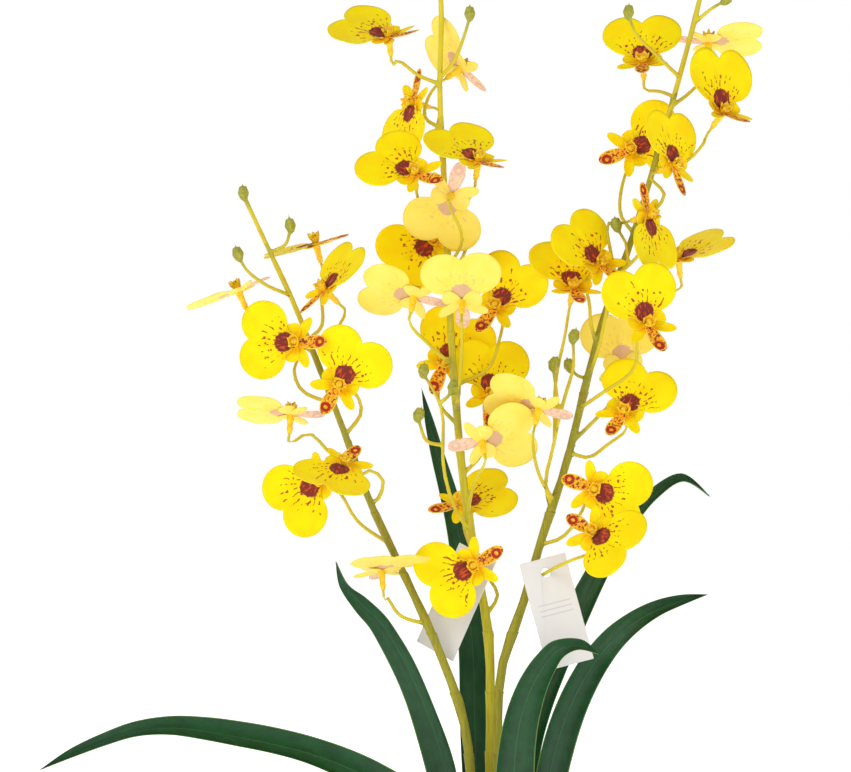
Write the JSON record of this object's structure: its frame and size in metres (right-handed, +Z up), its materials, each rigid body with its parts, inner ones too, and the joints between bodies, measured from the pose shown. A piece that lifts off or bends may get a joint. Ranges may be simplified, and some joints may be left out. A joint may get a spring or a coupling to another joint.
{
  "type": "potted orchid",
  "caption": "Potted spray orchid: tapered pot of growing medium, arching strap leaves, branching stems of small two-lobed yellow blooms and buds, and blank hang tags.",
  "frame": {"origin": "centre of the pot's flat base", "axes": "+Z up along the pot, -Y towards the plant's front, +X to the right as seen from the front"},
  "size_m": [0.3977, 0.143, 0.6454],
  "materials": {
    "pot": "plain, satin",
    "soil": "loose bark chips",
    "stem": "satin, olive to yellow",
    "leaf": "waxy, with fine veins and pale edges",
    "bloom": "thin matt petals, printed dashes and blotches at the throat",
    "tag": "stiff blank card"
  },
  "bodies": {
    "root": {"pot": "pot", "soil": "soil", "stem_left": "stem", "stem_middle": "stem", "stem_right": "stem", "leaf_left_low": "leaf", "leaf_left_tall": "leaf", "leaf_back": "leaf", "leaf_right_far": "leaf", "leaf_right_near": "leaf", "leaf_right_low": "leaf", "bloom_left_1": "bloom", "bloom_left_2": "bloom", "bloom_left_3": "bloom", "bloom_left_4": "bloom", "bloom_left_5": "bloom", "bloom_left_6": "bloom", "bloom_left_7": "bloom", "bloom_left_8": "bloom", "bloom_left_9": "bloom", "bloom_middle_1": "bloom", "bloom_middle_2": "bloom", "bloom_middle_3": "bloom", "bloom_middle_4": "bloom", "bloom_middle_5": "bloom", "bloom_middle_6": "bloom", "bloom_middle_7": "bloom", "bloom_middle_8": "bloom", "bloom_middle_9": "bloom", "bloom_middle_10": "bloom", "bloom_middle_11": "bloom", "bloom_middle_12": "bloom", "bloom_middle_13": "bloom", "bloom_middle_14": "bloom", "bloom_middle_15": "bloom", "bloom_right_1": "bloom", "bloom_right_2": "bloom", "bloom_right_3": "bloom", "bloom_right_4": "bloom", "bloom_right_5": "bloom", "bloom_right_6": "bloom", "bloom_right_7": "bloom", "bloom_right_8": "bloom", "bloom_right_9": "bloom", "bloom_right_10": "bloom", "bloom_right_11": "bloom", "bloom_right_12": "bloom", "bloom_right_13": "bloom", "bloom_right_14": "bloom", "bloom_right_15": "bloom", "tag_left": "tag", "tag_right": "tag"}
  },
  "joints": []
}
